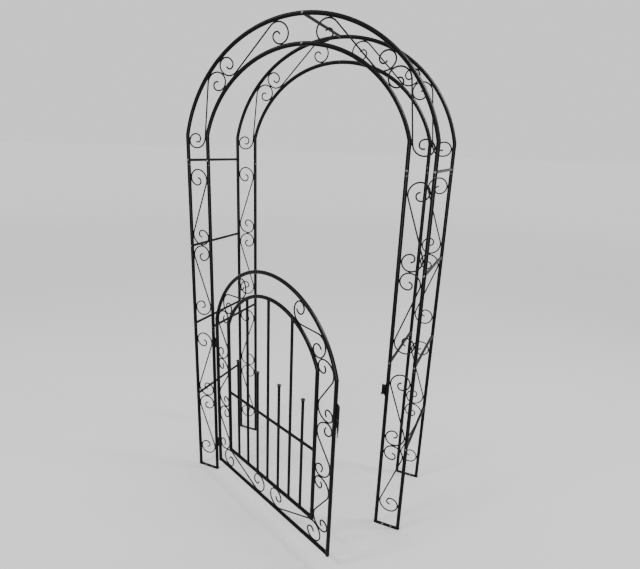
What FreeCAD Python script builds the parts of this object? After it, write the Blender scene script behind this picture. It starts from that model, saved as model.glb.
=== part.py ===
import FreeCAD, Part
import math
import os

os.makedirs("parts", exist_ok=True)
Vector = FreeCAD.Vector

# All sizes are in millimetres. The origin is on the ground in the middle of the four feet,
# X runs across the passage, Y runs through it away from the gate side, Z is up.

# Arch: two equal frames of bent tube, one behind the other
tube_diameter = 17.5
tube_wall = 1.0
outer_half_width = 575.0
frame_band = 110.0
frame_spacing = 430.0
spring_height = 1792.0
outer_crown_height = 2256.0
crown_band = 108.0
knee_radius = 60.0
seat_gap = 0.1

# Rungs between the frames, and the screws that hold them
rung_diameter = 13.0
first_rung_height = 450.0
rung_pitch = 410.0
rung_count = 4
lower_splice_rung = 1
upper_splice_rung = 3
screw_diameter = 5.0
screw_hole_clearance = 0.2
screw_head_diameter = 9.0
screw_head_height = 3.0
screw_head_rounding = 1.2
thread_clearance = 0.05
thread_depth = 14.0
screw_end_room = 1.0

# Splices: the end of a tube is drawn down and pushed into the next one
splice_below_screw = 20.0
spigot_length = 45.0
spigot_clearance = 0.1
spigot_collar = 2.0

# Feet
foot_width = 17.5
foot_thickness = 3.0
anchor_hole_diameter = 8.0
anchor_hole_spacing = 42.0

# Scrolls of bent round wire between the tubes of the arch: their radii are shares of the
# clear width between the tubes
wire_diameter = 6.5
leg_scroll_height = 365.0
leg_scroll_meetings = (450.0, 1277.0)
arch_scroll_height = 355.0
arch_scroll_foot = 1733.0
hug_share = 0.52
curl_shares = (0.37, 0.2, 0.155)
curl_end_angle = 75.0
curl_tail = 6.0

# Gate
gate_opening_at_rest = 24.2
hinge_gap = 12.5
latch_gap = 21.5
gate_band = 108.0
gate_crown_band = 110.0
gate_rail_height = 77.5
gate_inner_rail_height = 197.0
gate_mid_rail_height = 540.0
gate_spring_height = 910.0
gate_outer_crown_height = 1236.0
picket_diameter = 13.5
picket_wall = 1.0
picket_count = 7
short_picket_height = 747.0
cap_height = 24.0
cap_top_diameter = 19.5
cap_rim = 2.0
cap_crown = 1.5
cap_plug_length = 12.0
cap_plug_clearance = 0.1

# Scrolls of the gate
stile_scroll_height = 268.0
stile_scroll_foot = 169.0
stile_scroll_count = 3
gate_arch_scroll_height = 250.0
short_hug_share = 0.61
short_curl_shares = (0.29, 0.16, 0.33)
short_curl_end_angle = 40.0
gate_arch_hug_share = 0.58
gate_arch_curl_shares = (0.31, 0.23, 0.33)
gate_arch_curl_end_angle = 28.0
rail_scroll_length = 359.0

# Hinges
hinge_heights = (178.0, 773.0)
knuckle_length = 24.0
knuckle_diameter = 11.5
knuckle_gap = 0.3
hinge_pin_diameter = 8.0
pin_running_clearance = 0.05
pin_head_diameter = 11.0
pin_head_height = 2.5
pin_head_rounding = 1.0
hinge_lug_thickness = 5.0

# Latch rod, its plate and the keeper
latch_rod_diameter = 8.0
latch_rod_bottom = 697.0
latch_rod_top = 815.0
latch_rod_bend = 10.0
latch_plate_thickness = 3.0
latch_plate_bottom = 710.0
eye_thickness = 2.0
eye_drop = 7.0
eye_radius = 4.0
eye_hole_clearance = 0.6
keeper_wall = 2.0
keeper_slot = 14.0
keeper_bottom = 697.0
keeper_height = 51.0
keeper_depth = 11.3
rod_clearance = 1.5
stop_clearance = 0.3
notch_clearance = 1.5

# Safety hook on its chain
link_count = 3
link_wire = 2.0
link_bend_radius = 2.5
link_length = 9.0
link_play = 0.3
hook_wire = 2.0
hook_eye_radius = 3.2
hook_shank = 17.0
hook_bend_radius = 4.0
hook_tip = 4.0
hook_flare_radius = 6.0
hook_flare_angle = 25.0

# Values that follow from the sizes above
tube_radius = tube_diameter / 2
bore_radius = tube_radius - tube_wall
spigot_radius = bore_radius - spigot_clearance
spigot_bore = spigot_radius - tube_wall
wire_radius = wire_diameter / 2
frame_y = frame_spacing / 2
inner_half_width = outer_half_width - frame_band
inner_crown_height = outer_crown_height - crown_band
rung_heights = [first_rung_height + k * rung_pitch for k in range(rung_count)]
lower_splice = rung_heights[lower_splice_rung]
upper_splice = rung_heights[upper_splice_rung]
lower_seam = lower_splice - splice_below_screw
upper_seam = upper_splice - splice_below_screw

ACROSS = Vector(1, 0, 0)
THROUGH = Vector(0, 1, 0)
UP = Vector(0, 0, 1)
ORIGIN = Vector(0, 0, 0)


def point(x, z):
    """A point of the plane in which a frame or the gate is drawn."""
    return Vector(x, 0, z)


def direction(angle):
    """Unit vector in the drawing plane, its angle in degrees counted up from +X."""
    return point(math.cos(math.radians(angle)), math.sin(math.radians(angle)))


def angle_of(vector):
    return math.degrees(math.atan2(vector.z, vector.x))


def unit(vector):
    return vector * (1 / vector.Length)


def right_of(vector):
    """The vector turned a quarter turn to its right in the drawing plane."""
    return point(vector.z, -vector.x)


def mirrored(shape, about_x=0.0):
    return shape.mirror(point(about_x, 0), ACROSS)


def moved(shape, x=0.0, y=0.0):
    return shape.translated(Vector(x, y, 0))


def group(shapes):
    return Part.makeCompound(list(shapes))


def line(start, end):
    return Part.LineSegment(start, end).toShape()


def arc(centre, radius, start_angle, end_angle):
    """Arc in the drawing plane from one polar angle to another, in degrees."""
    angles = (start_angle, (start_angle + end_angle) / 2, end_angle)
    return Part.Arc(*[centre + direction(angle) * radius for angle in angles]).toShape()


def turn(centre, start, end):
    """Arc of less than half a turn between two points at equal distance from a centre."""
    radius = (start - centre).Length
    middle = centre + unit(start + end - centre * 2) * radius
    return Part.Arc(start, middle, end).toShape()


def path_of(edges):
    return Part.Wire(Part.__sortEdges__(edges))


def pipe(edges, radius, bore=0.0):
    """Round bar or tube along edges that run smoothly into one another."""
    path = path_of(edges)
    first = path.OrderedEdges[0]
    start = path.OrderedVertexes[0].Point
    tangent = first.tangentAt(first.Curve.parameter(start))
    rings = [Part.Wire(Part.makeCircle(radius, start, tangent))]
    if bore > 0:
        rings.append(Part.Wire(Part.makeCircle(bore, start, tangent)))
    return path.makePipe(Part.makeFace(rings, "Part::FaceMakerBullseye"))


def rod(radius, start, end):
    """Solid cylinder from one point to another."""
    return Part.makeCylinder(radius, (end - start).Length, start, end - start)


def upright_rod(radius, x, low, high):
    return rod(radius, point(x, low), point(x, high))


def level_rod(radius, z, left, right):
    return rod(radius, point(left, z), point(right, z))


def rounded_end(cylinder, seat, outward, height, radius):
    """Round the far rim of a short cylinder that stands on a seat."""
    reach = (seat + outward * height).dot(outward)
    rim = [edge for edge in cylinder.Edges
           if abs(edge.CenterOfMass.dot(outward) - reach) < 0.01]
    return cylinder.makeFillet(radius, rim)


# Tubes of the arch
class Arch:
    """Round arch between two uprights, which it leaves with a knee or with a sharp corner."""

    def __init__(self, half_width, spring, crown, centre_x=0.0, knee=0.0):
        rise = crown - spring
        self.half_width = half_width
        self.spring = spring
        self.crown = crown
        self.knee = knee
        self.radius = (half_width ** 2 + rise ** 2) / (2 * rise)
        self.centre = point(centre_x, crown - self.radius)

    def left_knee(self):
        """Centre of the tight bend that joins the left upright to the arch."""
        reach = self.half_width - self.knee
        height = math.sqrt((self.radius - self.knee) ** 2 - reach ** 2)
        return self.centre + point(-reach, height)

    def crown_angle(self, past_centre):
        """Polar angle of the point that lies this far along the arch past its crown."""
        return 90 - math.degrees(past_centre / self.radius)

    def crown_edge(self, start, end):
        return [arc(self.centre, self.radius, self.crown_angle(start), self.crown_angle(end))]

    def left_edges(self, foot, past_centre):
        """Upright, knee if there is one, and arch up to a point near the crown."""
        knee = self.left_knee()
        turn_angle = angle_of(knee - self.centre)
        upright = self.centre.x - self.half_width
        edges = [line(point(upright, foot), point(upright, knee.z))]
        if self.knee > 0:
            edges.append(arc(knee, self.knee, 180, turn_angle))
        return edges + [arc(self.centre, self.radius, turn_angle, self.crown_angle(past_centre))]


outer_arch = Arch(outer_half_width, spring_height, outer_crown_height, knee=knee_radius)
inner_arch = Arch(inner_half_width, spring_height, inner_crown_height, knee=knee_radius)


def spliced_tube(main, collar, spigot):
    """Tube whose far end is drawn down to a spigot that enters the next tube."""
    body = pipe(main, tube_radius, bore_radius)
    body = body.fuse(pipe(collar, tube_radius, spigot_bore))
    return body.fuse(pipe(spigot, spigot_radius, spigot_bore)).removeSplitter()


def drilled(tube, x, heights):
    """Holes from front to back for the screws."""
    radius = screw_diameter / 2 + screw_hole_clearance
    for z in heights:
        front = Vector(x, -tube_diameter, z)
        tube = tube.cut(rod(radius, front, front + THROUGH * (2 * tube_diameter)))
    return tube


def leg(half_width, foot, seam, holes):
    """Straight tube of a left leg, with a spigot above its seam."""
    x = -half_width
    collar = seam - spigot_collar
    tube = spliced_tube([line(point(x, foot), point(x, collar))],
                        [line(point(x, collar), point(x, seam))],
                        [line(point(x, seam), point(x, seam + spigot_length))])
    return drilled(tube, x, holes)


def left_half_arch(arch):
    """Half arch that ends in a spigot at the crown."""
    seam = -splice_below_screw
    collar = seam - spigot_collar
    tube = spliced_tube(arch.left_edges(upper_seam + seat_gap, collar),
                        arch.crown_edge(collar, seam),
                        arch.crown_edge(seam, seam + spigot_length))
    return drilled(drilled(tube, -arch.half_width, [upper_splice]), 0, [arch.crown])


def right_half_arch(arch):
    """Half arch whose open end takes the spigot of the other half."""
    edges = arch.left_edges(upper_seam + seat_gap, splice_below_screw - seat_gap)
    tube = pipe(edges, tube_radius, bore_radius)
    return mirrored(drilled(drilled(tube, -arch.half_width, [upper_splice]), 0, [arch.crown]))


# Scrolls
def straight_wall(wall_point, normal):
    """Finds the arc that leaves a point square to inward and just touches a flat wall."""
    def radius(start, inward):
        reach = (start - wall_point).dot(normal) - wire_radius - seat_gap
        return reach / (1 - inward.dot(normal))
    return radius


def hollow_wall(centre, wall_radius):
    """The same for a wall that curves round the arc."""
    limit = wall_radius - wire_radius - seat_gap

    def radius(start, inward):
        offset = start - centre
        return (limit ** 2 - offset.dot(offset)) / (2 * (offset.dot(inward) + limit))
    return radius


def crowned_wall(centre, wall_radius):
    """The same for a wall that curves away from the arc."""
    limit = wall_radius + wire_radius + seat_gap

    def radius(start, inward):
        offset = start - centre
        return (limit ** 2 - offset.dot(offset)) / (2 * (offset.dot(inward) - limit))
    return radius


class Scroll:
    """S shaped scroll: at each end a large arc hugs one wall and winds into a curl."""

    def __init__(self, clear_width, height, hug_share, curl_shares, end_angle, tail=0.0):
        hug = clear_width * hug_share
        self.clear_width = clear_width
        self.half_step = (height - wire_diameter) / 2 - hug
        self.offset = clear_width / 2 - wire_radius - seat_gap - hug
        self.half_span = math.hypot(self.half_step, self.offset)
        self.hug = hug
        self.curls = [clear_width * share for share in curl_shares]
        self.end_angle = end_angle
        self.tail = tail

    def curl(self, centre, outward, hugging, tangent_point, far_wall):
        """Edges from the straight middle run to the tip of one curl."""
        start = centre + outward * self.hug
        edges = [turn(centre, tangent_point, start)]
        radial = outward
        forward = hugging * -1
        for radius in [far_wall(start, outward * -1)] + self.curls[:-1]:
            middle = start - radial * radius
            end = middle + forward * radius
            edges.append(turn(middle, start, end))
            start = end
            radial, forward = forward, radial * -1
        radius = self.curls[-1]
        middle = start - radial * radius
        swing = math.radians(self.end_angle)
        end = middle + (radial * math.cos(swing) + forward * math.sin(swing)) * radius
        edges.append(turn(middle, start, end))
        if self.tail > 0:
            heading = forward * math.cos(swing) - radial * math.sin(swing)
            edges.append(line(end, end + heading * self.tail))
        return edges

    def edges(self, low, high, side, low_far_wall, high_far_wall):
        """Centre line between two hugging centres: side is 1 if the high end hugs to the right."""
        span = unit(high - low)
        along = unit(span * self.half_step - right_of(span) * (side * self.offset))
        hugging = right_of(along) * side
        middle = (low + high) * 0.5
        half = (high - low).Length / 2
        lean = math.asin(self.hug / half)
        run = math.sqrt(half ** 2 - self.hug ** 2)
        to_tangent = (span * math.cos(lean) + right_of(span) * (side * math.sin(lean))) * run
        high_curl = self.curl(high, along, hugging, middle + to_tangent, high_far_wall)
        low_curl = self.curl(low, along * -1, hugging * -1, middle - to_tangent, low_far_wall)
        return low_curl + [line(middle - to_tangent, middle + to_tangent)] + high_curl

    def straight(self, middle, along, side):
        """Centre line in a straight band, from the middle point and the band's direction."""
        right = right_of(along)
        step = along * self.half_step + right * (side * self.offset)
        walls = [straight_wall(middle + right * (hand * self.clear_width / 2), right * -hand)
                 for hand in (side, -side)]
        return self.edges(middle - step, middle + step, side, *walls)


class ArchedBand:
    """The band between two arches, with its scrolls drawn in the left half."""

    def __init__(self, outer, inner, form):
        self.outer = outer
        self.inner = inner
        self.form = form
        self.stand_off = tube_radius + wire_radius + seat_gap + form.hug
        self.ceiling = hollow_wall(outer.centre, outer.radius - tube_radius)
        self.floor = crowned_wall(inner.centre, inner.radius + tube_radius)

    def track(self, side):
        """Circle of the centres that hug the inner tube (side 1) or the outer one (side -1)."""
        if side > 0:
            return self.inner.centre, self.inner.radius + self.stand_off
        return self.outer.centre, self.outer.radius - self.stand_off

    def high_centre(self, low, side):
        """Centre of the high end, one span along its track from the low one."""
        centre, radius = self.track(side)
        to_low = low - centre
        span = 2 * self.form.half_span
        cosine = (to_low.Length ** 2 + radius ** 2 - span ** 2) / (2 * to_low.Length * radius)
        return centre + direction(angle_of(to_low) - math.degrees(math.acos(cosine))) * radius

    def first_scroll(self, foot):
        """Scroll whose low end rests against the inner tube, its high end against the outer."""
        upright = self.inner.centre.x - self.inner.half_width
        outer_upright = self.outer.centre.x - self.outer.half_width
        wall = straight_wall(point(outer_upright + tube_radius, 0), ACROSS)

        def build(stand_off):
            low = point(upright - stand_off, foot + wire_radius + self.form.hug)
            return self.form.edges(low, self.high_centre(low, -1), -1, wall, self.floor)

        beside = self.inner.left_edges(0, 0)
        reach = tube_radius + wire_radius + seat_gap
        return settle(build, beside, reach, self.stand_off - wire_radius, 1.2 * self.stand_off)

    def next_scroll(self, below, side):
        """Scroll moved along the band until it just rests against the one below it."""
        centre, radius = self.track(-side)
        walls = (self.floor, self.ceiling) if side > 0 else (self.ceiling, self.floor)

        def build(angle):
            low = centre + direction(angle) * radius
            return self.form.edges(low, self.high_centre(low, side), side, *walls)

        tip = path_of(below).BoundBox
        near = angle_of(point(tip.XMax - self.form.hug, tip.ZMax) - centre)
        far = near - math.degrees(2 * self.form.half_span / radius)
        return settle(build, below, wire_diameter + seat_gap, near, far)


def settle(build, fixed, reach, near, far):
    """Moves a scroll from far towards near until its centre line is at reach from a fixed one."""
    fixed_path = path_of(fixed)
    for _ in range(24):
        middle = (near + far) / 2
        distance = path_of(build(middle)).distToShape(fixed_path)[0]
        if distance < reach:
            near = middle
        else:
            far = middle
    return build(far)


leg_clear = frame_band - tube_diameter
curl_shape = (hug_share, curl_shares, curl_end_angle, curl_tail)
short_curl_shape = (short_hug_share, short_curl_shares, short_curl_end_angle)
arched_curl_shape = (gate_arch_hug_share, gate_arch_curl_shares, gate_arch_curl_end_angle)


def leg_scrolls():
    """The four scrolls of a left leg: two pairs that meet end to end."""
    form = Scroll(leg_clear, leg_scroll_height, *curl_shape)
    middle_x = -(outer_half_width + inner_half_width) / 2
    paths = []
    for meeting in leg_scroll_meetings:
        for side in (-1, 1):
            height = meeting + side * (leg_scroll_height + seat_gap) / 2
            paths.append(form.straight(point(middle_x, height), UP, side))
    return paths


def arch_scrolls():
    """The two scrolls in the left half of the arched band."""
    form = Scroll(leg_clear, arch_scroll_height, *curl_shape)
    band = ArchedBand(outer_arch, inner_arch, form)
    first = band.first_scroll(arch_scroll_foot)
    return [first, band.next_scroll(first, -1)]


# Rungs, screws and feet
def rung(x, z, tube_axis):
    """Round bar between the frames, shaped to the tubes and tapped at both ends."""
    bar = rod(rung_diameter / 2, Vector(x, -frame_y, z), Vector(x, frame_y, z))
    for side in (-1, 1):
        seat = Vector(x, side * frame_y, z)
        reach = tube_axis * tube_diameter
        thread_end = seat - THROUGH * (side * (tube_radius + thread_depth))
        bar = bar.cut(rod(tube_radius + seat_gap, seat - reach, seat + reach))
        bar = bar.cut(rod(screw_diameter / 2 + thread_clearance, seat, thread_end))
    return bar


def screw(x, z, side, length):
    """Pan head screw: side is -1 on the front frame and 1 on the back frame."""
    seat = Vector(x, side * (frame_y + tube_radius + seat_gap), z)
    outward = THROUGH * side
    head = rod(screw_head_diameter / 2, seat, seat + outward * screw_head_height)
    head = rounded_end(head, seat, outward, screw_head_height, screw_head_rounding)
    return head.fuse(rod(screw_diameter / 2, seat - outward * length, seat)).removeSplitter()


rung_screw_length = tube_diameter + thread_depth - screw_end_room
splice_screw_length = tube_diameter + 2 * seat_gap


def frame_screws(side):
    """All the screws of one frame."""
    screws = []
    for x in (-outer_half_width, outer_half_width):
        screws += [screw(x, z, side, rung_screw_length) for z in rung_heights]
    for x in (-inner_half_width, inner_half_width):
        screws.append(screw(x, lower_splice, side, rung_screw_length))
        screws.append(screw(x, upper_splice, side, splice_screw_length))
    screws.append(screw(0, outer_crown_height, side, rung_screw_length))
    screws.append(screw(0, inner_crown_height, side, splice_screw_length))
    return group(screws)


def foot(centre_x):
    """Flat bar under the two tubes of a leg, drilled for ground anchors."""
    left = centre_x - frame_band / 2
    right = centre_x + frame_band / 2
    bar = Part.makeBox(frame_band, foot_width, foot_thickness, Vector(left, -foot_width / 2, 0))
    ends = [upright_rod(foot_width / 2, x, 0, foot_thickness) for x in (left, right)]
    bar = bar.fuse(ends).removeSplitter()
    for side in (-1, 1):
        x = centre_x + side * anchor_hole_spacing / 2
        bar = bar.cut(upright_rod(anchor_hole_diameter / 2, x, -1, foot_thickness + 1))
    return bar


# Gate, drawn shut in the plane of the front frame
hinge_x = -inner_half_width + tube_radius + hinge_gap / 2
hinge_stile_x = hinge_x + hinge_gap / 2 + tube_radius
latch_stile_x = inner_half_width - tube_radius - latch_gap - tube_radius
gate_middle = (hinge_stile_x + latch_stile_x) / 2
gate_half_width = (latch_stile_x - hinge_stile_x) / 2
gate_inner_half = gate_half_width - gate_band
gate_inner_crown_height = gate_outer_crown_height - gate_crown_band
gate_outer_arch = Arch(gate_half_width, gate_spring_height, gate_outer_crown_height, gate_middle)
gate_inner_arch = Arch(gate_inner_half, gate_spring_height, gate_inner_crown_height, gate_middle)
stile_clear = gate_band - tube_diameter
rail_clear = gate_inner_rail_height - gate_rail_height - tube_diameter
picket_radius = picket_diameter / 2
picket_pitch = 2 * gate_inner_half / (picket_count + 1)
picket_places = [gate_middle - gate_inner_half + picket_pitch * (k + 1)
                 for k in range(picket_count)]
short_places = picket_places[0::2]
long_places = picket_places[1::2]


def beyond(plane_point, normal):
    """Block that fills the space past a plane, for mitre cuts."""
    size = gate_half_width
    block = Part.makeBox(size, size, size, Vector(-size / 2, -size / 2, 0))
    block.Placement = FreeCAD.Placement(plane_point, FreeCAD.Rotation(UP, normal))
    return block


def mitre(arch, side):
    """Plane that halves the angle between an upright and its arch."""
    spring = point(arch.centre.x + side * arch.half_width, arch.spring)
    radial = unit(spring - arch.centre)
    return spring, unit(UP + right_of(radial) * -side)


def stile(arch, side, rail_height):
    """Upright tube from the underside of its rail to the mitre under its arch."""
    spring, normal = mitre(arch, side)
    edge = line(point(spring.x, rail_height - tube_radius), spring + UP * tube_diameter)
    tube = pipe([edge], tube_radius, bore_radius)
    return tube.cut(beyond(spring - normal * (seat_gap / 2), normal))


def round_top(arch):
    """Arched tube, mitred to its two stiles."""
    reach = math.degrees(math.asin(arch.half_width / arch.radius) + tube_diameter / arch.radius)
    tube = pipe([arc(arch.centre, arch.radius, 90 + reach, 90 - reach)], tube_radius, bore_radius)
    for side in (-1, 1):
        spring, normal = mitre(arch, side)
        tube = tube.cut(beyond(spring + normal * (seat_gap / 2), normal * -1))
    return tube


def rail(half_length, height, radius, wall):
    """Level tube between two stiles, its ends shaped to them."""
    left = gate_middle - half_length
    right = gate_middle + half_length
    tube = pipe([line(point(left, height), point(right, height))], radius, radius - wall)
    for x in (left, right):
        low = height - tube_diameter
        tube = tube.cut(upright_rod(tube_radius + seat_gap, x, low, height + tube_diameter))
    return tube


def mid_rail():
    """Short tubes in a line between the stiles and the pickets."""
    tube = rail(gate_inner_half, gate_mid_rail_height, picket_radius, picket_wall)
    low = gate_mid_rail_height - picket_diameter
    high = gate_mid_rail_height + picket_diameter
    for x in picket_places:
        tube = tube.cut(upright_rod(picket_radius + seat_gap, x, low, high))
    return tube


def picket(x, top):
    """Upright tube that stands on the inner rail."""
    edge = line(point(x, gate_inner_rail_height), point(x, top))
    tube = pipe([edge], picket_radius, picket_radius - picket_wall)
    left = x - picket_diameter
    right = x + picket_diameter
    return tube.cut(level_rod(tube_radius + seat_gap, gate_inner_rail_height, left, right))


def long_picket(x):
    """Picket that reaches up to the inner arch and is shaped to it."""
    arch = gate_inner_arch
    reach = math.sqrt(arch.radius ** 2 - (x - gate_middle) ** 2)
    seat_angle = math.degrees(math.acos((x - gate_middle) / arch.radius))
    spread = math.degrees(tube_diameter / arch.radius)
    seat = pipe([arc(arch.centre, arch.radius, seat_angle - spread, seat_angle + spread)],
                tube_radius + seat_gap)
    return picket(x, arch.centre.z + reach).cut(seat)


def picket_cap(x):
    """Turned cap: a plug in the picket, and a stem that flares to a slightly domed top."""
    seat = short_picket_height - cap_height + seat_gap
    plug = picket_radius - picket_wall - cap_plug_clearance
    top_radius = cap_top_diameter / 2
    rim = short_picket_height - cap_rim
    waist = picket_radius + (top_radius - picket_radius) / 5
    corners = [point(0, short_picket_height + cap_crown), point(0, seat - cap_plug_length),
               point(plug, seat - cap_plug_length), point(plug, seat),
               point(picket_radius, seat)]
    edges = [line(start, end) for start, end in zip(corners, corners[1:])]
    flare = Part.Arc(corners[-1], point(waist, (seat + rim) / 2), point(top_radius, rim))
    dome_radius = (top_radius ** 2 + cap_crown ** 2) / (2 * cap_crown)
    dome_centre = point(0, short_picket_height + cap_crown - dome_radius)
    edge_angle = math.degrees(math.acos(top_radius / dome_radius))
    edges += [flare.toShape(), line(point(top_radius, rim), point(top_radius, short_picket_height)),
              arc(dome_centre, dome_radius, edge_angle, 90)]
    return moved(Part.Face(path_of(edges)).revolve(ORIGIN, UP, 360), x=x)


def both_sides(paths):
    """Scroll wires of the left side of the gate and of its right side."""
    wires = [pipe(path, wire_radius) for path in paths]
    return wires + [mirrored(wire, gate_middle) for wire in wires]


def gate_scrolls():
    """Centre lines of the left scrolls of the gate: beside the stile, arched and below."""
    form = Scroll(stile_clear, stile_scroll_height, *short_curl_shape)
    arched_form = Scroll(stile_clear, gate_arch_scroll_height, *arched_curl_shape)
    middle_x = hinge_stile_x + gate_band / 2
    pitch = stile_scroll_height + seat_gap
    beside = []
    for k in range(stile_scroll_count - 1):
        side = -1 if k % 2 == 0 else 1
        height = stile_scroll_foot + stile_scroll_height / 2 + k * pitch
        beside.append(form.straight(point(middle_x, height), UP, side))
    band = ArchedBand(gate_outer_arch, gate_inner_arch, form)
    top = band.first_scroll(stile_scroll_foot + (stile_scroll_count - 1) * pitch)
    arched_band = ArchedBand(gate_outer_arch, gate_inner_arch, arched_form)
    arched = arched_band.next_scroll(top, 1)
    beside.append(top)

    flat_form = Scroll(rail_clear, rail_scroll_length, *curl_shape)
    rail_middle = (gate_rail_height + gate_inner_rail_height) / 2

    def build(x):
        return flat_form.straight(point(x, rail_middle), ACROSS, 1)

    near = hinge_stile_x + tube_radius + rail_scroll_length / 2
    far = gate_middle - rail_scroll_length / 2
    below = settle(build, beside[0], wire_diameter + seat_gap, near, far)
    return beside, [arched], [below]


# Hinges
def knuckle(bottom, tube_face, bore):
    """Short sleeve on the hinge line, with a lug that reaches the tube it is welded to."""
    top = bottom + knuckle_length
    width = abs(tube_face - hinge_x)
    corner = Vector(min(hinge_x, tube_face), -hinge_lug_thickness / 2, bottom)
    lug = Part.makeBox(width, hinge_lug_thickness, knuckle_length, corner)
    sleeve = upright_rod(knuckle_diameter / 2, hinge_x, bottom, top).fuse(lug)
    return sleeve.removeSplitter().cut(upright_rod(bore, hinge_x, bottom - 1, top + 1))


def hinge_pin(height):
    """Headed pin, fast in the knuckle of the leg and running in that of the gate."""
    seat = point(hinge_x, height + knuckle_length + 2 * knuckle_gap)
    head = rod(pin_head_diameter / 2, seat, seat + UP * pin_head_height)
    head = rounded_end(head, seat, UP, pin_head_height, pin_head_rounding)
    shank = rod(hinge_pin_diameter / 2, point(hinge_x, height - knuckle_length), seat)
    return shank.fuse(head).removeSplitter()


leg_face = -inner_half_width + tube_radius + seat_gap
stile_face = hinge_stile_x - tube_radius - seat_gap
pin_radius = hinge_pin_diameter / 2
leg_knuckles = [knuckle(z - knuckle_length, leg_face, pin_radius) for z in hinge_heights]
gate_knuckles = [knuckle(z + knuckle_gap, stile_face, pin_radius + pin_running_clearance)
                 for z in hinge_heights]

# Latch: a rod on the gate stands in the slot of a keeper on the leg when the gate is shut
keeper_right = inner_half_width - tube_radius - seat_gap
keeper_left = keeper_right - keeper_slot - 2 * keeper_wall
latch_rod_radius = latch_rod_diameter / 2
latch_x = keeper_left + keeper_wall + rod_clearance + latch_rod_radius
eye_z = latch_rod_bottom - eye_drop
link_radius = link_wire / 2
link_step = link_length - link_wire - link_play
hook_radius = hook_wire / 2
hook_pivot_z = eye_z - link_step * (link_count - 1) - link_length


def bent_rod(radius):
    """Upright bar whose top is bent over to the middle of the latch stile."""
    level = latch_rod_top - latch_rod_radius
    corner = point(latch_x - latch_rod_bend, level - latch_rod_bend)
    edges = [line(point(latch_x, latch_rod_bottom), point(latch_x, corner.z)),
             arc(corner, latch_rod_bend, 0, 90),
             line(point(corner.x, level), point(latch_stile_x, level))]
    return pipe(edges, radius)


def latch_rod():
    """Rod beside the latch stile: shaped to it at the top, flattened to an eye below."""
    low = latch_rod_top - tube_diameter
    high = latch_rod_top + tube_diameter
    bar = bent_rod(latch_rod_radius)
    bar = bar.cut(upright_rod(tube_radius + seat_gap, latch_stile_x, low, high))
    left = latch_x - eye_thickness / 2
    right = latch_x + eye_thickness / 2
    tab = level_rod(eye_radius, eye_z, left, right)
    neck = Part.makeBox(eye_thickness, 2 * eye_radius, eye_drop + 1, Vector(left, -eye_radius, eye_z))
    hole = level_rod(link_radius + eye_hole_clearance, eye_z, left - 1, right + 1)
    return bar.fuse([tab, neck]).removeSplitter().cut(hole)


def latch_plate():
    """Flat plate that fills the space between the rod and the latch stile."""
    left = latch_stile_x + tube_radius + seat_gap
    height = latch_rod_top - latch_rod_radius - latch_plate_bottom
    corner = Vector(left, -latch_plate_thickness / 2, latch_plate_bottom)
    plate = Part.makeBox(latch_x - left, latch_plate_thickness, height, corner)
    return plate.cut(bent_rod(latch_rod_radius + seat_gap))


def keeper():
    """Channel on the leg, open to the front, its near wall cut down to pass the plate."""
    width = keeper_right - keeper_left
    back = latch_rod_radius + stop_clearance
    front = back - keeper_depth
    block = Part.makeBox(width, keeper_depth + keeper_wall, keeper_height,
                         Vector(keeper_left, front, keeper_bottom))
    slot = Part.makeBox(keeper_slot, keeper_depth + 1, keeper_height + 2,
                        Vector(keeper_left + keeper_wall, front - 1, keeper_bottom - 1))
    notch = Part.makeBox(2 * keeper_wall, keeper_depth + 1, keeper_height,
                         Vector(keeper_left - 1, front - 1, latch_plate_bottom - notch_clearance))
    return block.cut(slot).cut(notch)


def link(top_z, turned):
    """Long round link that hangs from its upper wire."""
    half = link_length / 2 - link_bend_radius
    top = point(0, top_z - link_length / 2 + half)
    bottom = point(0, top_z - link_length / 2 - half)
    out = ACROSS * link_bend_radius
    edges = [arc(top, link_bend_radius, 0, 180), line(top - out, bottom - out),
             arc(bottom, link_bend_radius, 180, 360), line(bottom + out, top + out)]
    ring = pipe(edges, link_radius)
    if turned:
        ring.rotate(ORIGIN, UP, 90)
    return moved(ring, x=latch_x)


def hook():
    """Wire hook: an eye round the last link, a shank, a round bend and a flared tip."""
    eye_top = hook_pivot_z + link_radius + link_play + hook_radius
    eye_centre = point(latch_x, eye_top - hook_eye_radius)
    eye = Part.makeTorus(hook_eye_radius, hook_radius, eye_centre, ACROSS)
    shank_top = eye_centre - UP * hook_eye_radius
    shank_bottom = shank_top - UP * (hook_shank - hook_bend_radius)
    bend = shank_bottom - ACROSS * hook_bend_radius
    tip = bend - ACROSS * hook_bend_radius + UP * hook_tip
    flare = tip - ACROSS * hook_flare_radius
    edges = [line(shank_top, shank_bottom), arc(bend, hook_bend_radius, 0, -180),
             line(tip - UP * hook_tip, tip),
             arc(flare, hook_flare_radius, 0, hook_flare_angle)]
    return eye.fuse(pipe(edges, hook_radius)).removeSplitter()


# Writing the parts
def write(name, shape):
    assert shape.isValid() and shape.Solids, name
    shape.exportStep("parts/" + name + ".step")
    volume = sum(solid.Volume for solid in shape.Solids)
    print(f"{name:30s} {len(shape.Solids):3d} solids {volume:12.1f} mm3")


def write_gate(name, shapes):
    """Moves gate pieces to the front frame and swings them to their place at rest."""
    placed = moved(group(shapes), y=-frame_y)
    placed.rotate(Vector(hinge_x, -frame_y, 0), UP, -gate_opening_at_rest)
    write(name, placed if len(shapes) > 1 else placed.Solids[0])


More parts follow.
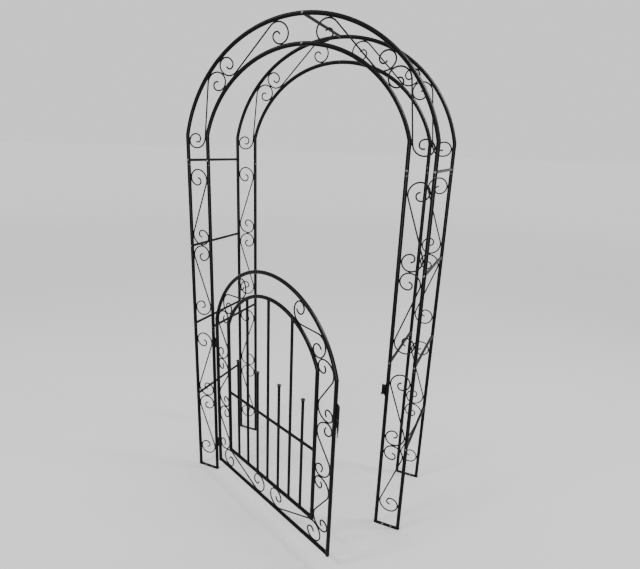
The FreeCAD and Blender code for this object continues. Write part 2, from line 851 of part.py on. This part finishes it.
below_seam = [z for z in rung_heights if z <= lower_splice]
above_seam = [z for z in rung_heights if lower_splice <= z <= upper_splice]
leg_foot = foot_thickness + seat_gap
next_foot = lower_seam + seat_gap
left_pieces = {
    "outer_lower_leg": leg(outer_half_width, leg_foot, lower_seam, below_seam),
    "inner_lower_leg": leg(inner_half_width, leg_foot, lower_seam, [lower_splice]),
    "outer_upper_leg": leg(outer_half_width, next_foot, upper_seam, above_seam),
    "inner_upper_leg": leg(inner_half_width, next_foot, upper_seam, [lower_splice, upper_splice]),
    "scrolls": group(pipe(path, wire_radius) for path in leg_scrolls() + arch_scrolls()),
}
half_arches = {
    "left_outer_arch": left_half_arch(outer_arch),
    "left_inner_arch": left_half_arch(inner_arch),
    "right_outer_arch": right_half_arch(outer_arch),
    "right_inner_arch": right_half_arch(inner_arch),
}
leg_middle = (outer_half_width + inner_half_width) / 2

for frame, y, side in (("front", -frame_y, -1), ("back", frame_y, 1)):
    for name, piece in left_pieces.items():
        write(f"{frame}_left_{name}", moved(piece, y=y))
        write(f"{frame}_right_{name}", moved(mirrored(piece), y=y))
    for name, piece in half_arches.items():
        write(f"{frame}_{name}", moved(piece, y=y))
    write(f"{frame}_feet", moved(group(foot(x) for x in (-leg_middle, leg_middle)), y=y))
    write(f"{frame}_screws", frame_screws(side))

for hand, x in (("left", -outer_half_width), ("right", outer_half_width)):
    write(f"{hand}_outer_rungs", group(rung(x, z, UP) for z in rung_heights))
write("inner_rungs", group(rung(x, lower_splice, UP)
                           for x in (-inner_half_width, inner_half_width)))
write("crown_rung", rung(0, outer_crown_height, ACROSS))
write("leg_knuckles", moved(group(leg_knuckles), y=-frame_y))
write("hinge_pins", moved(group(hinge_pin(z) for z in hinge_heights), y=-frame_y))
write("latch_keeper", moved(keeper(), y=-frame_y))

write_gate("gate_hinge_stile", [stile(gate_outer_arch, -1, gate_rail_height)])
write_gate("gate_latch_stile", [stile(gate_outer_arch, 1, gate_rail_height)])
write_gate("gate_outer_arc", [round_top(gate_outer_arch)])
write_gate("gate_inner_left_stile", [stile(gate_inner_arch, -1, gate_inner_rail_height)])
write_gate("gate_inner_right_stile", [stile(gate_inner_arch, 1, gate_inner_rail_height)])
write_gate("gate_inner_arc", [round_top(gate_inner_arch)])
write_gate("gate_bottom_rail", [rail(gate_half_width, gate_rail_height, tube_radius, tube_wall)])
write_gate("gate_inner_rail", [rail(gate_inner_half, gate_inner_rail_height, tube_radius, tube_wall)])
write_gate("gate_mid_rail", mid_rail().Solids)
write_gate("long_pickets", [long_picket(x) for x in long_places])
write_gate("short_pickets", [picket(x, short_picket_height - cap_height) for x in short_places])
write_gate("picket_caps", [picket_cap(x) for x in short_places])
beside, arched, below = gate_scrolls()
write_gate("gate_stile_scrolls", both_sides(beside))
write_gate("gate_arch_scrolls", both_sides(arched))
write_gate("gate_rail_scrolls", both_sides(below))
write_gate("gate_knuckles", gate_knuckles)
write_gate("latch_rod", [latch_rod()])
write_gate("latch_plate", [latch_plate()])
write_gate("latch_chain", [link(eye_z - k * link_step, k % 2 == 1) for k in range(link_count)])
write_gate("latch_hook", [hook()])
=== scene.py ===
import math

import bmesh
import bpy
from mathutils import Matrix, Vector, noise
from mathutils.bvhtree import BVHTree


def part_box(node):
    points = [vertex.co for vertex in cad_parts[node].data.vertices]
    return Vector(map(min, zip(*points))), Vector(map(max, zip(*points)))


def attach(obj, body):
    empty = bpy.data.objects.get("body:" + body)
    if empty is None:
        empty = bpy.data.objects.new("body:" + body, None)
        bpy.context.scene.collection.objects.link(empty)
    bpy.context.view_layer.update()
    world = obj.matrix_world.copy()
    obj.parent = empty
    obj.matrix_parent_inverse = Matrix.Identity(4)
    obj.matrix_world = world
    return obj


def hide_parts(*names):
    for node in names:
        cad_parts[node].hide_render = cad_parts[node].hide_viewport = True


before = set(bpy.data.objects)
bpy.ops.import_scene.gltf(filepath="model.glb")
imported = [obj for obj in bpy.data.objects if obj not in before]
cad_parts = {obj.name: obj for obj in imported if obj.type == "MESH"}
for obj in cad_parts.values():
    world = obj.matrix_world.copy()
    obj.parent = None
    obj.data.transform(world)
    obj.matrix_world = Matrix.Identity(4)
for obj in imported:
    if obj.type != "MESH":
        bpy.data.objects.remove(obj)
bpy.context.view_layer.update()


# Finishes
class Value:
    """A number that varies over a surface, written as plain arithmetic."""

    def __init__(self, finish, socket):
        self.finish = finish
        self.socket = socket

    def _maths(self, operation, first, second):
        node = self.finish.add("ShaderNodeMath", {"operation": operation}, {0: first, 1: second})
        return Value(self.finish, node.outputs[0])

    def __add__(self, other):
        return self._maths("ADD", self, other)

    def __sub__(self, other):
        return self._maths("SUBTRACT", self, other)

    def __rsub__(self, other):
        return self._maths("SUBTRACT", other, self)

    def __mul__(self, other):
        return self._maths("MULTIPLY", self, other)

    __radd__ = __add__
    __rmul__ = __mul__

    def __abs__(self):
        return self._maths("ABSOLUTE", self, 0)

    def step(self, low, high):
        """0 below low, 1 above high, smooth between."""
        node = self.finish.add("ShaderNodeMapRange", {"interpolation_type": "SMOOTHSTEP"},
                               {"Value": self, "From Min": low, "From Max": high})
        return Value(self.finish, node.outputs["Result"])


class Finish:
    """A material built up node by node."""

    def __init__(self, name, **constants):
        self.material = bpy.data.materials.new(name)
        self.material.use_nodes = True
        self.shader = self.material.node_tree.nodes["Principled BSDF"]
        for constant, value in constants.items():
            socket = constant.replace("_", " ").title().replace("Ior", "IOR")
            self.shader.inputs[socket].default_value = value
        self.place = self.add("ShaderNodeTexCoord").outputs["Object"]

    def add(self, kind, settings=None, sockets=None):
        """Any node: its settings are set first, then the values or links of its sockets."""
        node = self.material.node_tree.nodes.new(kind)
        for name, value in (settings or {}).items():
            setattr(node, name, value)
        for name, value in (sockets or {}).items():
            self.feed(node.inputs[name], value)
        return node

    def feed(self, socket, value):
        """Links a value or a node's output to a socket, or sets a plain number or colour."""
        if isinstance(value, Value):
            value = value.socket
        if isinstance(value, bpy.types.NodeSocket):
            self.material.node_tree.links.new(value, socket)
        else:
            socket.default_value = value

    def grain(self, scale, detail=2.0, roughness=0.5, stretch=None):
        """Noise between 0 and 1; scale is in cells per metre."""
        place = self.place
        if stretch:
            place = self.add("ShaderNodeMapping", None, {"Vector": place, "Scale": stretch}).outputs[0]
        node = self.add("ShaderNodeTexNoise", None, {"Vector": place, "Scale": scale,
                                                     "Detail": detail, "Roughness": roughness})
        return Value(self, node.outputs["Fac"])

    def height(self):
        """Height above the ground, in metres."""
        return Value(self, self.add("ShaderNodeSeparateXYZ", None, {0: self.place}).outputs["Z"])

    def blend(self, amount, first, second):
        """Colour that goes from the first to the second as the amount goes from 0 to 1."""
        node = self.add("ShaderNodeMix", {"data_type": "RGBA"},
                        {"Factor": amount, 6: first, 7: second})
        return node.outputs[2]

    def colour(self, value):
        self.feed(self.shader.inputs["Base Color"], value)

    def roughness(self, value):
        self.feed(self.shader.inputs["Roughness"], value)

    def metal(self, value):
        self.feed(self.shader.inputs["Metallic"], value)

    def relief(self, value, depth, strength):
        """Bump from a value; the depth is in metres."""
        bump = self.add("ShaderNodeBump", None, {"Height": value, "Distance": depth,
                                                 "Strength": strength})
        self.feed(self.shader.inputs["Normal"], bump.outputs["Normal"])


# Colours, and how much the black coat mirrors when looked at straight on
coat_black = (0.0018, 0.0019, 0.0023, 1)
dust_grey = (0.03, 0.03, 0.03, 1)
dry_soil = (0.04, 0.03, 0.02, 1)
bare_steel = (0.16, 0.155, 0.15, 1)
oiled_steel = (0.035, 0.033, 0.032, 1)
rubbed_steel = (0.32, 0.31, 0.3, 1)
dark_zinc = (0.12, 0.12, 0.125)
dull_zinc = (0.3, 0.3, 0.31)
coat_mirror = 0.1


def powder_coat(name, gloss, peel_scale, peel_depth, rubbed_heights=(), rubbed_reach=0.002):
    """Black baked coat: orange peel, uneven gloss, a little dust, and bare metal where it rubs.

    The coat is rubbed through in patches within the reach of each of the rubbed heights.
    """
    coat = Finish(name, specular_ior_level=coat_mirror)
    peel = coat.grain(peel_scale, 2.0)
    sag = coat.grain(90.0, 2.0)
    dust = coat.grain(38.0, 4.0, 0.6).step(0.56, 0.8) * coat.grain(1400.0, 2.0).step(0.5, 0.72)
    colour = coat.blend(dust * 0.3, coat_black, dust_grey)
    dull = gloss + sag * 0.14 + dust * 0.25 - 0.07
    if rubbed_heights:
        scrape = coat.grain(520.0, 3.0, 0.65, (1.0, 1.0, 0.35))
        worn = 0.0
        for level in rubbed_heights:
            near = 1 - abs(coat.height() - level).step(0.25 * rubbed_reach, rubbed_reach)
            worn = near * (scrape + near * 0.22).step(0.6, 0.68) + worn
        colour = coat.blend(worn, colour, bare_steel)
        coat.metal(worn)
        dull = dull + worn * 0.08
        sag = sag - worn * 0.3
    coat.colour(colour)
    coat.roughness(dull)
    coat.relief(peel + sag * 2.0, peel_depth, 0.6)
    return coat.material


def soiled_coat(name):
    """The same coat where it meets the ground: worn along the rim, with a little dry soil."""
    coat = Finish(name, specular_ior_level=coat_mirror)
    height = coat.height()
    splash = coat.grain(160.0, 4.0, 0.65)
    soil = (splash + (1 - height.step(0.0, 0.004)) * 0.1).step(0.56, 0.74)
    chips = coat.grain(420.0, 3.0, 0.6).step(0.66, 0.7)
    ground = coat.blend(soil * 0.6, coat_black, dry_soil)
    coat.colour(coat.blend(chips * 0.8, ground, bare_steel))
    coat.metal(chips * 0.8)
    coat.roughness(0.42 + soil * 0.4)
    coat.relief(coat.grain(700.0) * 0.5 + soil - chips * 0.5, 0.00012, 0.7)
    return coat.material


def weld_bead_coat(name):
    """Coat over a weld: the ripples of the bead and a few specks of spatter show through."""
    coat = Finish(name, specular_ior_level=coat_mirror)
    ripple = coat.grain(760.0, 1.0, 0.4, (1.0, 1.0, 1.6))
    spatter = coat.grain(2100.0, 1.0).step(0.66, 0.78)
    coat.colour(coat.blend(spatter * 0.3, coat_black, dust_grey))
    coat.roughness(0.44 + ripple * 0.12)
    coat.relief(ripple + spatter * 0.6, 0.0004, 0.7)
    return coat.material


def plated_steel(name, colour, dull, brush_scale, spots):
    """Zinc plate: fine brushing, grey bloom and a few dull specks."""
    plate = Finish(name, metallic=1.0)
    brush = plate.grain(brush_scale, 3.0, 0.6, (1.0, 1.0, 6.0))
    bloom = plate.grain(420.0, 3.0).step(0.45, 0.75)
    specks = plate.grain(1900.0, 2.0).step(0.66, 0.74) * spots
    darker = tuple(0.55 * c for c in colour)
    plate.colour(plate.blend(bloom * 0.5 + specks, colour + (1,), darker + (1,)))
    plate.roughness(dull + brush * 0.16 + bloom * 0.14 - 0.08)
    plate.relief(brush + specks, 0.00004, 0.5)
    return plate.material


def worn_steel(name):
    """Hinge pin: dark oiled steel, rubbed bright in thin streaks."""
    steel = Finish(name, metallic=1.0)
    streaks = steel.grain(900.0, 3.0, 0.6, (1.0, 1.0, 0.2)).step(0.52, 0.68)
    film = steel.grain(350.0, 3.0)
    steel.colour(steel.blend(streaks * 0.8, oiled_steel, rubbed_steel))
    steel.roughness(0.5 - streaks * 0.18 + film * 0.15)
    steel.relief(film + streaks * -0.4, 0.00005, 0.5)
    return steel.material


# Heights at which the coat is rubbed
tube_seams = (0.84, 1.66)
knuckle_joints = (0.178, 0.773)
keeper_ends = (0.7, 0.746)
cap_seat = (0.747,)
link_touches = (0.689, 0.682, 0.675, 0.669)
tube_coat = powder_coat("tube_coat", 0.36, 850.0, 0.00005, tube_seams, 0.0012)
wire_coat = powder_coat("scroll_coat", 0.4, 1100.0, 0.00005)
bar_coat = powder_coat("rung_coat", 0.36, 950.0, 0.00005)
gate_coat = powder_coat("gate_coat", 0.36, 850.0, 0.00005)
cap_coat = powder_coat("cap_coat", 0.3, 1300.0, 0.00006, cap_seat, 0.0009)
knuckle_coat = powder_coat("knuckle_coat", 0.42, 700.0, 0.00014, knuckle_joints, 0.0016)
latch_coat = powder_coat("latch_coat", 0.4, 800.0, 0.00008, keeper_ends, 0.002)
link_coat = powder_coat("link_coat", 0.38, 1800.0, 0.00005, link_touches, 0.002)
weld_coat = weld_bead_coat("weld_coat")
foot_coat = soiled_coat("foot_coat")
screw_plate = plated_steel("screw_plate", dark_zinc, 0.36, 2600.0, 0.4)
hook_plate = plated_steel("hook_plate", dull_zinc, 0.42, 2000.0, 0.6)
pin_steel = worn_steel("pin_steel")


def finish_for(node):
    """The finish of a node of the frame, by its name."""
    if node.endswith("scrolls"):
        return wire_coat
    if node.endswith("rungs") or node == "crown_rung":
        return bar_coat
    if node.endswith("feet"):
        return foot_coat
    if node.endswith("screws"):
        return screw_plate
    if node == "picket_caps":
        return cap_coat
    if node in ("leg_knuckles", "gate_knuckles"):
        return knuckle_coat
    if node in ("latch_keeper", "latch_plate", "latch_rod"):
        return latch_coat
    if node == "hinge_pins":
        return pin_steel
    if node == "latch_chain":
        return link_coat
    if node == "latch_hook":
        return hook_plate
    if node.startswith("gate") or node.endswith("pickets"):
        return gate_coat
    return tube_coat


for node_name, node_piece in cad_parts.items():
    for material_slot in node_piece.material_slots:
        material_slot.material = finish_for(node_name)


# Finding where the metal meets
leg_line = -0.215
gate_opening = math.radians(24.2)
through_arch = Vector((0, 1, 0))
through_gate = Matrix.Rotation(-gate_opening, 3, "Z") @ through_arch
along_gate = Matrix.Rotation(-gate_opening, 3, "Z") @ Vector((1, 0, 0))
up = Vector((0, 0, 1))
same_point = 1e-6
weld_reach = 0.0012
weld_spacing = 0.014


class Solid:
    """One solid of the frame, to be measured: its points and a tree of its surface."""

    def __init__(self, faces):
        corners = dict.fromkeys(corner for face in faces for corner in face.verts)
        number = {corner: k for k, corner in enumerate(corners)}
        self.points = [corner.co.copy() for corner in number]
        self.tree = BVHTree.FromPolygons(
            self.points, [[number[corner] for corner in face.verts] for face in faces])

    def span(self, direction):
        """How far the solid reaches each way along a direction."""
        reaches = [point.dot(direction) for point in self.points]
        return min(reaches), max(reaches)


def solids_of(*nodes):
    """The solids of some nodes of the frame, one by one, each walked in the order of its mesh."""
    found = []
    for node in nodes:
        joined = bmesh.new()
        joined.from_mesh(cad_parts[node].data)
        bmesh.ops.remove_doubles(joined, verts=joined.verts, dist=same_point)
        seen = set()
        for first in joined.faces:
            if first in seen:
                continue
            seen.add(first)
            faces = [first]
            for face in faces:
                for edge in face.edges:
                    beside = [other for other in edge.link_faces if other not in seen]
                    seen.update(beside)
                    faces += beside
            found.append(Solid(faces))
        joined.free()
    return found


def surface_of(*nodes):
    """One tree of the surfaces of several nodes."""
    points = []
    faces = []
    for node in nodes:
        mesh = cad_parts[node].data
        first = len(points)
        points += [corner.co.copy() for corner in mesh.vertices]
        faces += [[first + corner for corner in face.vertices] for face in mesh.polygons]
    return BVHTree.FromPolygons(points, faces)


def touches(solid, surface):
    """Where a solid lies against a surface: the middle of each touch and the way across it."""
    near = []
    for point in solid.points:
        spot, normal, _, gap = surface.find_nearest(point, weld_reach)
        if spot is not None:
            near.append((gap, (point + spot) / 2, normal))
    near.sort(key=lambda touch: touch[0])
    middles = []
    for _, place, normal in near:
        if all((place - other).length > weld_spacing for other, _ in middles):
            weight = 0.0
            centre = Vector()
            for gap, other, _ in near:
                if (other - place).length < weld_spacing / 2:
                    share = (weld_reach - gap) ** 2
                    centre += other * share
                    weight += share
            middles.append((centre / weight, normal))
    return middles


# Welds: each size is a length along the seam, a thickness and a width
wire_to_tube = (0.0105, 0.0046, 0.0058)
wire_to_wire = (0.0085, 0.0046, 0.0058)
keeper_end = (0.009, 0.003, 0.003)
lug_thickness, lug_width = 0.0028, 0.003
lug_gap, lug_stand = 0.0008, 0.0007
plate_stitches, stitch_share = 4, 0.55
rail_bead, foot_bead, mitre_bead = 0.0015, 0.0014, 0.0011
mitre_sink = 0.0003
bead_sides, bead_steps = 6, 24
lump_scale, lump_depth = 330.0, 0.0006
# The seat of a tube end is looked for from just inside its wall, this far back and this far ahead
look_inside, look_back, look_ahead = 0.97, 0.014, 0.04


class Beads:
    """The weld beads of one body, made one by one and kept in one piece."""

    def __init__(self):
        self.shape = bmesh.new()

    def keep(self, bead):
        """Makes a smooth bead uneven, as it froze, and adds it to the rest."""
        bead.normal_update()
        for corner in bead.verts:
            corner.co += corner.normal * noise.noise(corner.co * lump_scale) * lump_depth
        mesh = bpy.data.meshes.new("bead")
        bead.to_mesh(mesh)
        bead.free()
        self.shape.from_mesh(mesh)
        bpy.data.meshes.remove(mesh)

    def tack(self, place, along, across, size):
        """Lumpy bead with its length, thickness and width given."""
        along = along.normalized()
        width = along.cross(across).normalized()
        turn = Matrix((along, width.cross(along), width)).transposed().to_4x4()
        bead = bmesh.new()
        bmesh.ops.create_icosphere(
            bead, subdivisions=2, radius=0.5,
            matrix=Matrix.Translation(place) @ turn @ Matrix.Diagonal((*size, 1)))
        self.keep(bead)

    def wires(self, wires, tubes, through):
        """Tacks the scroll wires to the tubes and to one another."""
        for k, wire in enumerate(wires):
            surfaces = [(tubes, wire_to_tube)] + [(other.tree, wire_to_wire) for other in wires[k + 1:]]
            for surface, size in surfaces:
                for middle, normal in touches(wire, surface):
                    across = normal - through * normal.dot(through)
                    self.tack(middle, through.cross(across), across, size)

    def tube_end(self, tube, axis, mate, radius=rail_bead, sink=0.0):
        """Weld all round the end of a tube, laid along the surface that the end is fitted to.

        An end that has no such surface all round gets no weld.
        """
        side = axis.orthogonal().normalized()
        other = axis.cross(side)
        low, high = tube.span(side)
        reach = (high - low) / 2 - sink
        start = (side * (low + high) + other * sum(tube.span(other))) / 2
        start += axis * (tube.span(axis)[1] - look_back)
        section = Matrix((axis, side, other)).transposed().to_4x4()
        bead = bmesh.new()
        loop = bmesh.ops.create_circle(
            bead, segments=bead_sides, radius=radius,
            matrix=Matrix.Translation(start + side * reach) @ section)["verts"]
        bmesh.ops.spin(bead, geom=loop + bead.edges[:], cent=start, axis=axis, angle=math.tau,
                       steps=bead_steps, use_merge=True)
        for corner in bead.verts:
            offset = corner.co - start
            outward = (offset - axis * offset.dot(axis)).normalized()
            spot = mate.ray_cast(start + outward * reach * look_inside, axis, look_ahead)[0]
            if spot is None:
                bead.free()
                return
            corner.co += axis * (spot - start).dot(axis)
        self.keep(bead)

    def lug(self, plate, tube, through, pieces=1):
        """Runs along both faces of a flat plate where its edge meets a tube, or stitches there."""
        edge = [point for point in plate.points if tube.find_nearest(point, lug_gap)[0] is not None]
        middle = sum((point.dot(through) for point in edge)) / len(edge)
        for hand in (-1, 1):
            face = [point for point in edge if (point.dot(through) - middle) * hand > 0]
            low = min(face, key=lambda point: point.z)
            high = max(face, key=lambda point: point.z)
            run = (high - low) / pieces
            for k in range(pieces):
                place = low + run * (k + 0.5) + through * hand * lug_stand
                length = run.length * (1.0 if pieces == 1 else stitch_share)
                self.tack(place, up, through, (length, lug_thickness, lug_width))

    def finish(self, name, body):
        """Turns all the beads into one coated piece."""
        bmesh.ops.recalc_face_normals(self.shape, faces=self.shape.faces)
        return made_piece(self.shape, name, body, weld_coat)


def made_piece(shape, name, body, material):
    """Turns a finished shape into a piece that rides on a body."""
    for face in shape.faces:
        face.smooth = True
    mesh = bpy.data.meshes.new(name)
    shape.to_mesh(mesh)
    shape.free()
    mesh.materials.append(material)
    piece = bpy.data.objects.new(name, mesh)
    bpy.context.scene.collection.objects.link(piece)
    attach(piece, body)
    return piece


def arch_welds():
    """Beads on the scrolls, the feet, the leg knuckles and the keeper."""
    beads = Beads()
    for place in ("front_left", "front_right", "back_left", "back_right"):
        tubes = [f"{place}_{line}_{length}" for line in ("outer", "inner")
                 for length in ("lower_leg", "upper_leg", "arch")]
        beads.wires(solids_of(f"{place}_scrolls"), surface_of(*tubes), through_arch)
        foot = surface_of(f"{place.split('_')[0]}_feet")
        for leg in solids_of(f"{place}_outer_lower_leg", f"{place}_inner_lower_leg"):
            beads.tube_end(leg, -up, foot, foot_bead)
    hinge_leg = surface_of("front_left_inner_lower_leg")
    for knuckle in solids_of("leg_knuckles"):
        beads.lug(knuckle, hinge_leg, through_arch)
    keeper_low, keeper_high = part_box("latch_keeper")
    for height in (keeper_low[2], keeper_high[2]):
        beads.tack(Vector((keeper_high[0], leg_line, height)), through_arch, up, keeper_end)
    return beads.finish("arch_welds", "arch")


def gate_welds():
    """Beads on the gate's scrolls, pickets, rails, round tops, knuckles and latch plate."""
    beads = Beads()
    outer = ("gate_hinge_stile", "gate_latch_stile")
    inner = ("gate_inner_left_stile", "gate_inner_right_stile")
    tubes = outer + inner + ("gate_outer_arc", "gate_inner_arc", "gate_bottom_rail", "gate_inner_rail")
    scrolls = solids_of("gate_stile_scrolls", "gate_arch_scrolls", "gate_rail_scrolls")
    beads.wires(scrolls, surface_of(*tubes), through_gate)
    pickets = solids_of("long_pickets", "short_pickets")
    inner_rail = surface_of("gate_inner_rail")
    inner_arc = surface_of("gate_inner_arc")
    for picket in pickets:
        beads.tube_end(picket, -up, inner_rail)
        beads.tube_end(picket, up, inner_arc)
    uprights = surface_of("long_pickets", "short_pickets", *inner)
    for rail, ends in (("gate_mid_rail", uprights), ("gate_inner_rail", surface_of(*inner)),
                       ("gate_bottom_rail", surface_of(*outer))):
        for tube in solids_of(rail):
            beads.tube_end(tube, along_gate, ends)
            beads.tube_end(tube, -along_gate, ends)
    for stiles, arc in ((outer, "gate_outer_arc"), (inner, "gate_inner_arc")):
        for stile in solids_of(*stiles):
            beads.tube_end(stile, up, surface_of(arc), mitre_bead, mitre_sink)
    hinge_stile = surface_of("gate_hinge_stile")
    for knuckle in solids_of("gate_knuckles"):
        beads.lug(knuckle, hinge_stile, through_gate)
    beads.lug(solids_of("latch_plate")[0], surface_of("gate_latch_stile"), through_gate, plate_stitches)
    return beads.finish("gate_welds", "gate")


# Screws: the cross recess is given as shares of the head's flat square
head_height, head_crown, head_edge = 0.003, 0.0007, 0.0016
crown_share = 0.94
shank_radius = 0.0024
slot_half_width, slot_half_length = 0.1, 0.5
slot_depth, slot_taper = 0.0015, 0.62
head_squares = 9
screw_turn = 0.7


def pan_screw(shape, solid, outward, turned):
    """Pan head screw with a cross recess, to the size of one screw of the frame."""
    across = outward.orthogonal().normalized()
    beside = outward.cross(across)
    low, high = solid.span(across)
    head = (high - low) / 2
    tail, top = solid.span(outward)
    middle = (across * (low + high) + beside * sum(solid.span(beside))) / 2
    made = bmesh.new()
    bmesh.ops.create_grid(made, x_segments=head_squares, y_segments=head_squares, size=1.0)
    recess = []
    for face in made.faces:
        place = face.calc_center_median()
        near, far = sorted((abs(place.x), abs(place.y)))
        if near < slot_half_width and far < slot_half_length:
            recess.append(face)
    for corner in made.verts:
        share = max(abs(corner.co.x), abs(corner.co.y))
        if share > 0:
            corner.co *= share * head * crown_share / corner.co.length
        corner.co.z = head_height - head_crown * share ** 4
    rim = [edge for edge in made.edges if edge.is_boundary]
    for reach, height in ((head, head_edge), (head, 0.0), (shank_radius, 0.0),
                          (shank_radius, tail - top + head_height)):
        grown = bmesh.ops.extrude_edge_only(made, edges=rim)["geom"]
        rim = [part for part in grown if isinstance(part, bmesh.types.BMEdge)]
        for corner in [part for part in grown if isinstance(part, bmesh.types.BMVert)]:
            flat = Vector((corner.co.x, corner.co.y, 0)).normalized() * reach
            corner.co = Vector((flat.x, flat.y, height))
    bmesh.ops.holes_fill(made, edges=rim)
    sunk = bmesh.ops.extrude_face_region(made, geom=recess)["geom"]
    bmesh.ops.delete(made, geom=recess, context="FACES")
    for corner in [part for part in sunk if isinstance(part, bmesh.types.BMVert)]:
        corner.co.x *= slot_taper
        corner.co.y *= slot_taper
        corner.co.z -= slot_depth
    bmesh.ops.recalc_face_normals(made, faces=made.faces)
    frame_turn = Matrix((across, beside, outward)).transposed().to_4x4()
    seat = Matrix.Translation(middle + outward * (top - head_height))
    bmesh.ops.transform(made, verts=made.verts,
                        matrix=seat @ frame_turn @ Matrix.Rotation(turned, 4, "Z"))
    mesh = bpy.data.meshes.new("screw")
    made.to_mesh(mesh)
    made.free()
    shape.from_mesh(mesh)
    bpy.data.meshes.remove(mesh)


def frame_screws(side, outward):
    """All the screws of one frame, each turned its own way."""
    shape = bmesh.new()
    for k, solid in enumerate(solids_of(f"{side}_screws")):
        pan_screw(shape, solid, outward, screw_turn * k)
    piece = made_piece(shape, f"{side}_pan_screws", "arch", screw_plate)
    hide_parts(f"{side}_screws")


arch_welds()
gate_welds()
frame_screws("front", -through_arch)
frame_screws("back", through_arch)


# Floor, light and camera
backdrop = 1.0
floor_reach, fade_start, fade_end = 200.0, 4.0, 14.0
black, floor_white, floor_whiter = (0, 0, 0, 1), (0.86, 0.86, 0.86, 1), (0.9, 0.9, 0.9, 1)
cool_light = (0.82, 0.9, 1.0)


def stage_floor():
    """Pale floor that fades into the backdrop far behind the object."""
    shape = bmesh.new()
    bmesh.ops.create_grid(shape, x_segments=1, y_segments=1, size=floor_reach)
    mesh = bpy.data.meshes.new("floor")
    shape.to_mesh(mesh)
    shape.free()
    floor = bpy.data.objects.new("floor", mesh)
    bpy.context.scene.collection.objects.link(floor)
    paint = Finish("floor_paint", roughness=0.9, specular_ior_level=coat_mirror, emission_strength=1.0)
    shade = paint.grain(0.8, 3.0)
    away = Value(paint, paint.add("ShaderNodeVectorMath", {"operation": "LENGTH"},
                                  {0: paint.place}).outputs["Value"]).step(fade_start, fade_end)
    pale = paint.blend(shade, floor_white, floor_whiter)
    paint.colour(paint.blend(away, pale, black))
    paint.feed(paint.shader.inputs["Emission Color"],
               paint.blend(away, black, (backdrop, backdrop, backdrop, 1)))
    mesh.materials.append(paint.material)


def soft_box(name, place, aim, size, power, sheen_only=False, tint=(1, 1, 1)):
    """Lamp behind a cloth; one for sheen alone is only seen mirrored in the coat."""
    light = bpy.data.lights.new(name, "AREA")
    light.shape = "RECTANGLE"
    light.size, light.size_y = size
    light.energy = power
    light.color = tint
    lamp = bpy.data.objects.new(name, light)
    lamp.visible_diffuse = not sheen_only
    lamp.matrix_world = (Matrix.Translation(place)
                         @ (Vector(aim) - Vector(place)).to_track_quat("-Z", "Y").to_matrix().to_4x4())
    bpy.context.scene.collection.objects.link(lamp)


def studio():
    """Even white surroundings, two soft lamps, and two more for the sheen of the tubes."""
    world = bpy.data.worlds.new("studio")
    world.use_nodes = True
    background = world.node_tree.nodes["Background"]
    background.inputs["Color"].default_value = (1, 1, 1, 1)
    background.inputs["Strength"].default_value = backdrop
    bpy.context.scene.world = world
    soft_box("key", (-1.9, -2.9, 3.9), (0, 0, 1.4), (0.7, 0.7), 75)
    soft_box("side", (3.2, 0.9, 3.4), (0, 0, 1.4), (0.6, 1.2), 55)
    soft_box("shoulder_sheen", (2.3, -0.6, 3.9), (0.2, -0.4, 1.3), (1.7, 1.2), 400, True)
    soft_box("front_sheen", (1.25, -3.2, 1.25), (0.3, -0.2, 1.5), (0.45, 0.7), 90, True, cool_light)


# The photograph in pixels: its size, the point that the camera looks straight at, its focal length
photo_width, photo_height = 640, 569
aim_across, aim_down = 311.4909, 296.4635
focal_pixels = 476.7589
camera_place = (0.8955, -2.1258, 1.7515)
yaw, pitch, roll = -0.4039, 0.3012, 0.0347


def photo_camera():
    """Camera at the height, distance and tilt of the photograph."""
    data = bpy.data.cameras.new("camera")
    data.sensor_width = 36.0
    data.lens = data.sensor_width * (focal_pixels / photo_width)
    data.shift_x = (photo_width / 2 - aim_across) / photo_width
    data.shift_y = (aim_down - photo_height / 2) / photo_width
    camera = bpy.data.objects.new("camera", data)
    camera.matrix_world = (Matrix.Translation(camera_place)
                           @ Matrix.Rotation(-yaw, 4, "Z")
                           @ Matrix.Rotation(math.pi / 2 - pitch, 4, "X")
                           @ Matrix.Rotation(roll, 4, "Z"))
    bpy.context.scene.collection.objects.link(camera)
    bpy.context.scene.camera = camera


stage_floor()
studio()
photo_camera()
